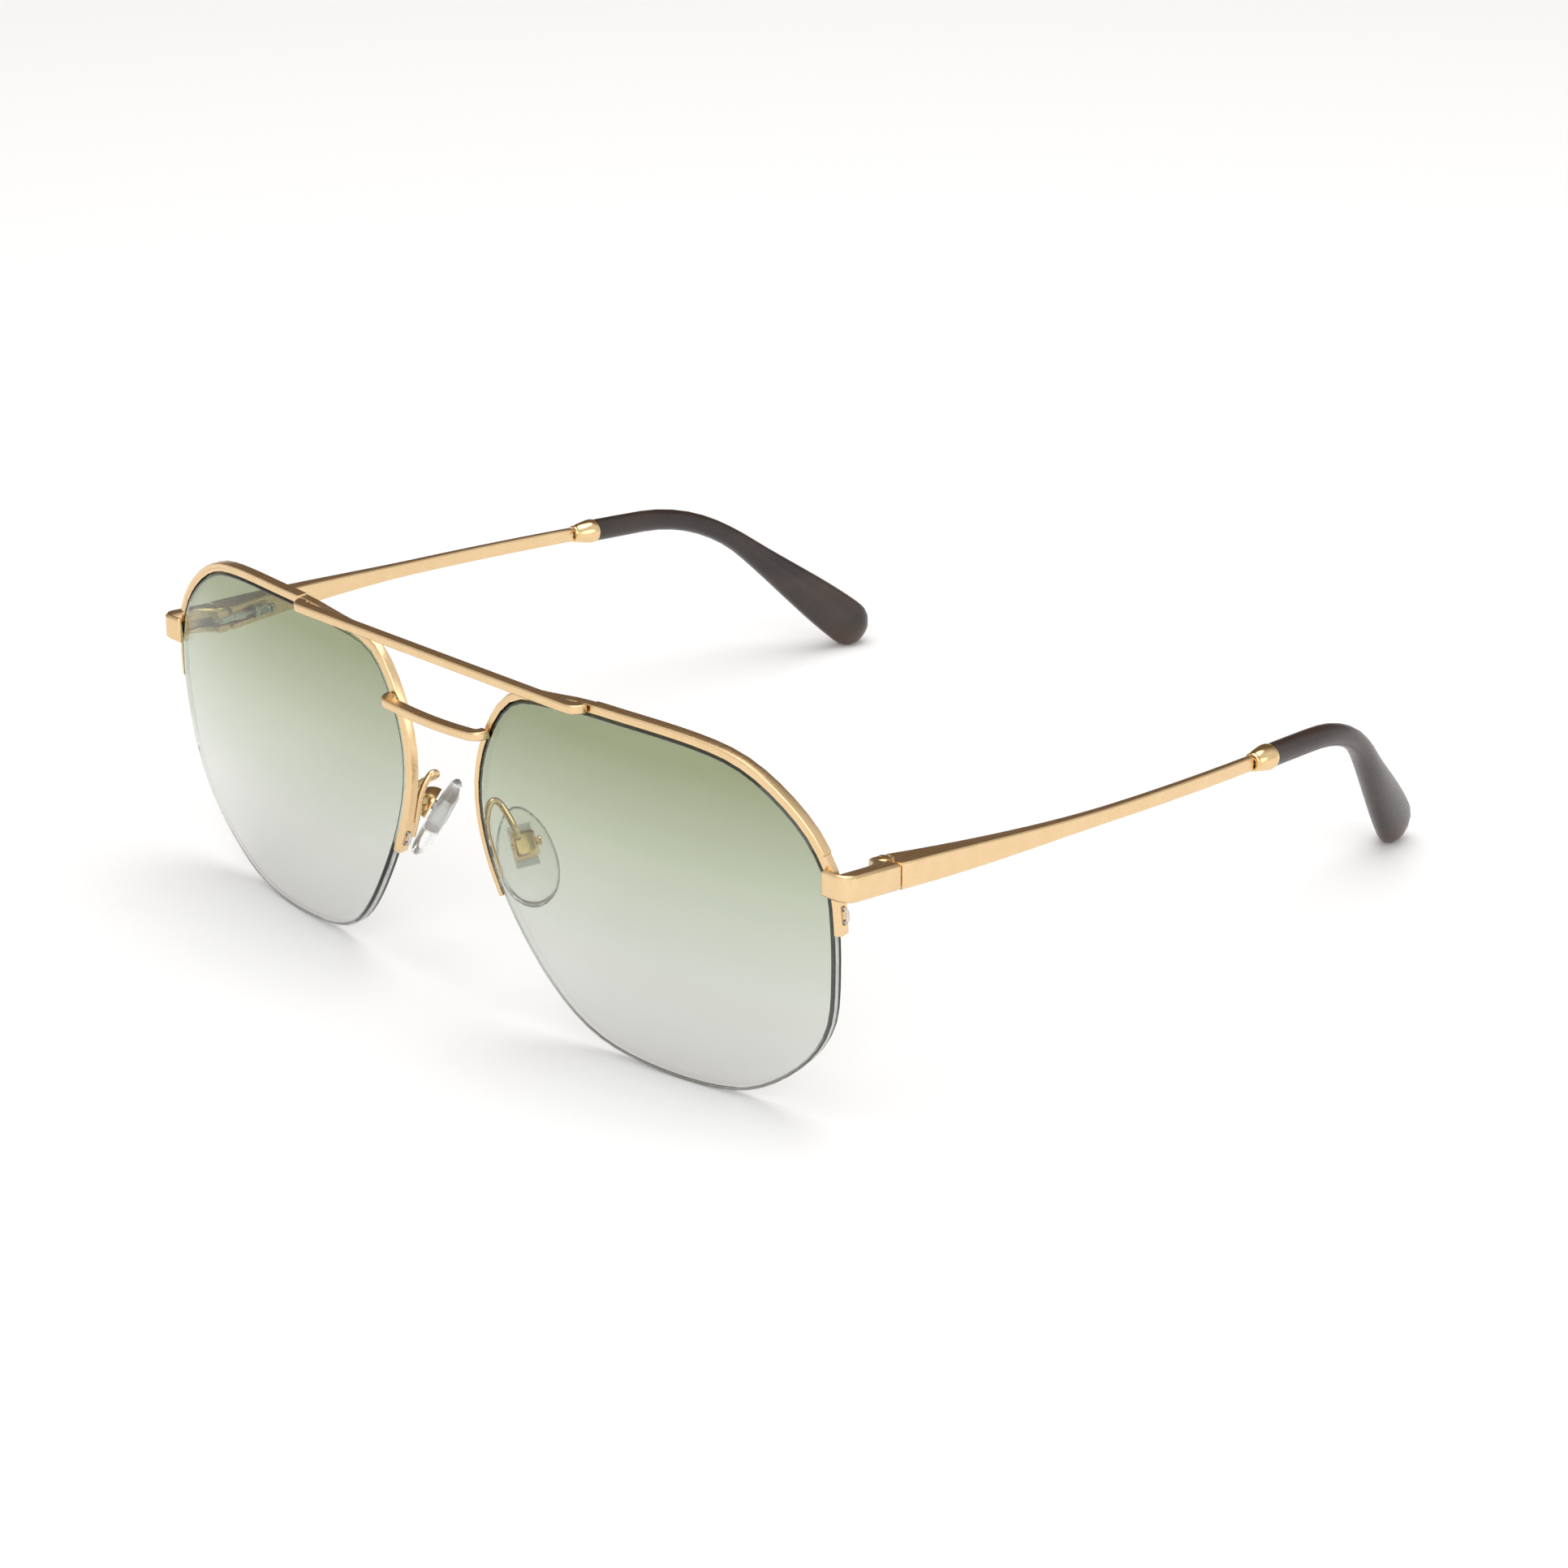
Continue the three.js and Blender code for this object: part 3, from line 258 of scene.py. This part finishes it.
def steelFinish():
    finish = Finish("springSteel", Metallic=1.0)
    grain = finish.noise(2400.0, 2.0)
    finish.paint(finish.ramp(grain, (0.3, (0.42, 0.43, 0.45, 1)), (0.7, (0.70, 0.71, 0.73, 1))))
    finish.paint(finish.spread(grain, 0.3, 0.7, 0.18, 0.34), "Roughness")
    finish.bumped(grain, 0.00001, 0.3)
    return finish.material


lensTint = {
    "top": (0.29, 0.33, 0.19, 1),
    "middle": (0.51, 0.56, 0.44, 1),
    "low": (0.68, 0.71, 0.66, 1),
    "bottom": (0.74, 0.74, 0.73, 1),
    "stopAt": {"bottom": 0.0, "low": 0.32, "middle": 0.62, "top": 0.93},
    "lowMm": 2.0,
    "highMm": 52.0,
}


def lensFinish(values):
    finish = Finish("lensTint", Roughness=0.02, IOR=1.5, Transmission_Weight=1.0)
    share = finish.spread(finish.height(), values["lowMm"] * mm, values["highMm"] * mm, 0.0, 1.0)
    stops = [(at, values[name]) for name, at in values["stopAt"].items()]
    tint = finish.ramp(share, *stops)
    film = finish.noise(60.0, 2.0)
    haze = finish.ramp(film, (0.3, (0.8, 0.85, 0.75, 1)), (0.7, (1, 1, 1, 1)))
    finish.paint(finish.blended(0.04, tint, haze, "MULTIPLY"))
    finish.paint(finish.spread(finish.noise(500.0, 3.0), 0.35, 0.7, 0.0, 0.03), "Roughness")
    finish.bumped(film, 0.00001, 0.05)
    return finish.material


def nylonFinish(name, deep, pale, rough, clear=0.0):
    finish = Finish(name, IOR=1.53, Transmission_Weight=clear)
    cloud = finish.noise(1400.0, 3.0)
    finish.paint(finish.ramp(cloud, (0.3, deep), (0.7, pale)))
    finish.paint(finish.spread(cloud, 0.3, 0.7, rough - 0.06, rough + 0.06), "Roughness")
    finish.bumped(cloud, 0.00001, 0.3)
    return finish.material


def siliconeFinish():
    finish = Finish("clearSilicone", IOR=1.36, Transmission_Weight=0.94)
    cloud = finish.noise(700.0, 3.0)
    finish.paint(finish.ramp(cloud, (0.3, (0.95, 0.96, 0.95, 1)), (0.75, (1.0, 1.0, 0.99, 1))))
    finish.paint(finish.spread(finish.noise(1500.0, 3.0), 0.3, 0.7, 0.06, 0.2), "Roughness")
    finish.bumped(cloud, 0.00003, 0.35)
    return finish.material


acetate = {
    "deep": (0.010, 0.006, 0.005, 1),
    "brown": (0.038, 0.020, 0.013, 1),
    # painted glow of light shining through the plastic, mixed in near the table
    "paintedThroughGlow": (0.09, 0.035, 0.014, 1),
    "paintedThroughGlowMm": 5.0,
}


def acetateFinish(values):
    # dark brown plastic with faint swirls and a soft sheen, warmer towards its thick end by the table,
    # where a painted glow of light shining through the plastic is mixed in
    finish = Finish("darkAcetate", IOR=1.48, Coat_Weight=0.25, Coat_Roughness=0.3)
    swirl = finish.noise(130.0, 4.0, finish.stretched((1.0, 0.4, 1.0)), 0.6)
    body = finish.ramp(swirl, (0.35, values["deep"]), (0.7, values["brown"]))
    # share of the painted through-light glow: strongest at the table, gone at the height given in
    # millimetres
    low = finish.spread(finish.height(), 0.0, values["paintedThroughGlowMm"] * mm, 0.75, 0.0)
    finish.paint(finish.blended(low, body, values["paintedThroughGlow"]))
    fine = finish.noise(2600.0, 3.0)
    finish.paint(finish.spread(fine, 0.3, 0.7, 0.26, 0.42), "Roughness")
    finish.bumped(fine, 0.00002, 0.3)
    return finish.material


finishes = {
    "gold_satin": goldFinish("satinGold", goldPlate["satin"]),
    "gold_bright": goldFinish("brightGold", goldPlate["bright"]),
    "spring_steel": steelFinish(),
    "lens_tint": lensFinish(lensTint),
    "black_nylon": nylonFinish("blackNylon", (0.008, 0.008, 0.008, 1), (0.022, 0.021, 0.02, 1), 0.42),
    "clear_nylon": nylonFinish("clearNylon", (0.80, 0.80, 0.78, 1), (0.93, 0.93, 0.92, 1), 0.2, 0.7),
    "dark_acetate": acetateFinish(acetate),
    "clear_silicone": siliconeFinish(),
}
say("finishes ready")


def bodyOf(node):
    for name, nodes in frame["record"]["behaviour"]["bodies"].items():
        if node in nodes:
            return name
    return "front"


def slotOf(node):
    for row in frame["record"]["subparts"]:
        if row["node"] == node:
            return row["material_slot"]
    return "gold_satin"


def mergedCopy(node, name):
    # a welded copy of a CAD node's mesh, ready for a finer skin
    source = frame["nodes"][node]
    work = bmesh.new()
    work.from_mesh(source.data)
    bmesh.ops.transform(work, matrix=source.matrix_world, verts=work.verts)
    bmesh.ops.remove_doubles(work, verts=work.verts, dist=2e-7)
    bmesh.ops.dissolve_degenerate(work, edges=work.edges, dist=1e-8)
    mesh = bpy.data.meshes.new(name)
    work.to_mesh(mesh)
    work.free()
    piece = bpy.data.objects.new(name, mesh)
    bpy.context.collection.objects.link(piece)
    return piece


def shadeByAngle(mesh, angle):
    # smooth faces, with edges sharper than the angle kept crisp
    mesh.shade_smooth()
    work = bmesh.new()
    work.from_mesh(mesh)
    for edge in work.edges:
        edge.smooth = len(edge.link_faces) == 2 and edge.calc_face_angle(0) < angle
    work.to_mesh(mesh)
    work.free()


def plainMesh(piece):
    # the evaluated shape becomes the piece's own mesh and its modifiers go
    evaluated = piece.evaluated_get(bpy.context.evaluated_depsgraph_get())
    mesh = bpy.data.meshes.new_from_object(evaluated)
    piece.modifiers.clear()
    piece.data = mesh
    mesh.name = piece.name
    return piece


def settle(piece, *nodes):
    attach(piece, bodyOf(nodes[0]))
    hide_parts(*nodes)


def skin(node, values):
    piece = mergedCopy(node, node + "_skin")
    if values.get("bevelMm"):
        bevel = piece.modifiers.new("edge", "BEVEL")
        bevel.width = values["bevelMm"] * mm
        bevel.segments = 2
        bevel.limit_method = "ANGLE"
        bevel.angle_limit = math.radians(values.get("bevelFrom", 40))
        bevel.use_clamp_overlap = True
    plainMesh(piece)
    shadeByAngle(piece.data, math.radians(values.get("crease", 40)))
    piece.data.materials.clear()
    piece.data.materials.append(finishes[slotOf(node)])
    settle(piece, node)
    return piece


skins = {
    "brow_bar": {"bevelMm": 0.07},
    "nose_bridge": {"bevelMm": 0.07},
    "rim": {"bevelMm": 0.04, "bevelFrom": 30},
    "rim_liner": {},
    "lens": {"crease": 30},
    "lens_cord": {"crease": 60},
    "endpiece": {"bevelMm": 0.09},
    "hinge_screw": {"bevelMm": 0.03},
    "spring_slide": {"bevelMm": 0.04},
    "spring_stop": {"bevelMm": 0.04},
    "temple": {"bevelMm": 0.05},
    "ferrule": {"bevelMm": 0.03},
    "temple_tip": {"crease": 60},
    "pad_box": {"bevelMm": 0.06},
    "pad_screw": {"bevelMm": 0.02},
    "nose_pad": {"crease": 50},
    "nose_pad_core": {"bevelMm": 0.05},
}


class Tree:
    # a geometry node group with named sizes
    def __init__(self, name, sizes):
        self.group = bpy.data.node_groups.new(name, "GeometryNodeTree")
        faces = self.group.interface
        faces.new_socket("Geometry", in_out="OUTPUT", socket_type="NodeSocketGeometry")
        faces.new_socket("Geometry", in_out="INPUT", socket_type="NodeSocketGeometry")
        self.ids = {}
        for label, kind in sizes:
            self.ids[label] = faces.new_socket(label, in_out="INPUT", socket_type=kind).identifier
        self.source = self.group.nodes.new("NodeGroupInput")
        self.result = self.group.nodes.new("NodeGroupOutput")

    def add(self, kind, **settings):
        node = self.group.nodes.new(kind)
        for label, value in settings.items():
            setattr(node, label, value)
        return node

    def join(self, fromSocket, toSocket):
        self.group.links.new(fromSocket, toSocket)

    def finishWith(self, geometry):
        realize = self.add("GeometryNodeRealizeInstances")
        paint = self.add("GeometryNodeSetMaterial")
        self.join(geometry, realize.inputs[0])
        self.join(realize.outputs[0], paint.inputs["Geometry"])
        self.join(self.source.outputs["Finish"], paint.inputs["Material"])
        self.join(paint.outputs[0], self.result.inputs[0])

    def make(self, name, mesh, **sizes):
        piece = bpy.data.objects.new(name, mesh)
        bpy.context.collection.objects.link(piece)
        modifier = piece.modifiers.new("shape", "NODES")
        modifier.node_group = self.group
        for label, value in sizes.items():
            modifier[self.ids[label]] = value
        return plainMesh(piece)


def sweptWireTree():
    # a round wire along the piece's own line of edges
    tree = Tree(
        "sweptWire",
        [("Radius", "NodeSocketFloat"), ("Points", "NodeSocketInt"), ("Sides", "NodeSocketInt"),
         ("Finish", "NodeSocketMaterial")],
    )
    curve = tree.add("GeometryNodeMeshToCurve")
    spline = tree.add("GeometryNodeCurveSplineType", spline_type="CATMULL_ROM")
    even = tree.add("GeometryNodeResampleCurve")
    circle = tree.add("GeometryNodeCurvePrimitiveCircle")
    swept = tree.add("GeometryNodeCurveToMesh")
    smooth = tree.add("GeometryNodeSetShadeSmooth")
    tree.join(tree.source.outputs["Geometry"], curve.inputs[0])
    tree.join(curve.outputs[0], spline.inputs[0])
    tree.join(spline.outputs[0], even.inputs["Curve"])
    tree.join(tree.source.outputs["Points"], even.inputs["Count"])
    tree.join(tree.source.outputs["Radius"], circle.inputs["Radius"])
    tree.join(tree.source.outputs["Sides"], circle.inputs["Resolution"])
    tree.join(even.outputs[0], swept.inputs["Curve"])
    tree.join(circle.outputs[0], swept.inputs["Profile Curve"])
    swept.inputs["Fill Caps"].default_value = True
    tree.join(swept.outputs[0], smooth.inputs[0])
    tree.finishWith(smooth.outputs[0])
    return tree


def coilTree():
    # a coil spring standing on its end
    tree = Tree(
        "coilSpring",
        [("Turns", "NodeSocketFloat"), ("Coil radius", "NodeSocketFloat"), ("Length", "NodeSocketFloat"),
         ("Wire radius", "NodeSocketFloat"), ("Finish", "NodeSocketMaterial")],
    )
    spiral = tree.add("GeometryNodeCurveSpiral")
    spiral.inputs["Resolution"].default_value = 24
    circle = tree.add("GeometryNodeCurvePrimitiveCircle")
    circle.inputs["Resolution"].default_value = 10
    swept = tree.add("GeometryNodeCurveToMesh")
    swept.inputs["Fill Caps"].default_value = True
    smooth = tree.add("GeometryNodeSetShadeSmooth")
    tree.join(tree.source.outputs["Turns"], spiral.inputs["Rotations"])
    tree.join(tree.source.outputs["Coil radius"], spiral.inputs["Start Radius"])
    tree.join(tree.source.outputs["Coil radius"], spiral.inputs["End Radius"])
    tree.join(tree.source.outputs["Length"], spiral.inputs["Height"])
    tree.join(tree.source.outputs["Wire radius"], circle.inputs["Radius"])
    tree.join(spiral.outputs[0], swept.inputs["Curve"])
    tree.join(circle.outputs[0], swept.inputs["Profile Curve"])
    tree.join(swept.outputs[0], smooth.inputs[0])
    tree.finishWith(smooth.outputs[0])
    return tree


def facedOutwards(mesh):
    work = bmesh.new()
    work.from_mesh(mesh)
    bmesh.ops.remove_doubles(work, verts=work.verts, dist=1e-7)
    bmesh.ops.recalc_face_normals(work, faces=work.faces)
    work.to_mesh(mesh)
    work.free()


def lineMesh(name, points):
    mesh = bpy.data.meshes.new(name)
    mesh.from_pydata(points, [(k, k + 1) for k in range(len(points) - 1)], [])
    return mesh


padArm = {
    # up the back of the rim, over in a loop and down to the box behind the pad
    "pointsMm": [
        (9.83, -69.83, 22.0), (8.58, -70.0, 25.1), (7.6, -70.11, 28.31), (7.1, -69.51, 30.51),
        (6.85, -68.36, 31.81), (7.3, -67.21, 31.11), (10.49, -67.68, 28.94), (10.89, -67.48, 27.44),
    ],
    "radiusMm": 0.5,
    "points": 72,
    "sides": 20,
}


def makePadArms(tree, values):
    for side, sign in (("left", 1), ("right", -1)):
        name = "pad_arm_wire_" + side
        points = [(sign * x * mm, y * mm, z * mm) for x, y, z in values["pointsMm"]]
        wire = tree.make(
            name, lineMesh(name, points), Radius=values["radiusMm"] * mm,
            Points=values["points"], Sides=values["sides"],
            Finish=finishes["gold_satin"],
        )
        facedOutwards(wire.data)
        shadeByAngle(wire.data, math.radians(50))
        settle(wire, "pad_arm_" + side)


# endShare is how far the wire's middle starts from each end of its room, in wire radii
hingeSpring = {"turns": 4.0, "coilRadiusMm": 0.68, "wireRadiusMm": 0.15, "travelMm": 1.0, "endShare": 1.1}


def makeHingeSprings(tree, values):
    for side in sides:
        low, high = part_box("hinge_spring_" + side)
        low, high = Vector(low), Vector(high)
        wire = values["wireRadiusMm"] * mm
        room = high.y - low.y - 2 * values["endShare"] * wire
        coil = tree.make(
            "hinge_spring_coil_" + side, bpy.data.meshes.new("coil"), **{
                "Turns": values["turns"], "Coil radius": values["coilRadiusMm"] * mm,
                "Length": room, "Wire radius": wire,
                "Finish": finishes["spring_steel"],
            }
        )
        middle = (low + high) / 2
        for vertex in coil.data.vertices:
            x, y, z = vertex.co
            vertex.co = (middle.x + x, low.y + values["endShare"] * wire + z, middle.z - y)
        coil.data.update()
        facedOutwards(coil.data)
        settle(coil, "hinge_spring_" + side)
        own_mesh(coil)


def makeAll():
    for base, values in skins.items():
        nodes = [base] if base in frame["nodes"] else [base + "_" + side for side in sides]
        for node in nodes:
            skin(node, values)
    say("welded skins made")
    makePadArms(sweptWireTree(), padArm)
    makeHingeSprings(coilTree(), hingeSpring)
    say("wires and springs made")


makeAll()

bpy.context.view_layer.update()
say("done")
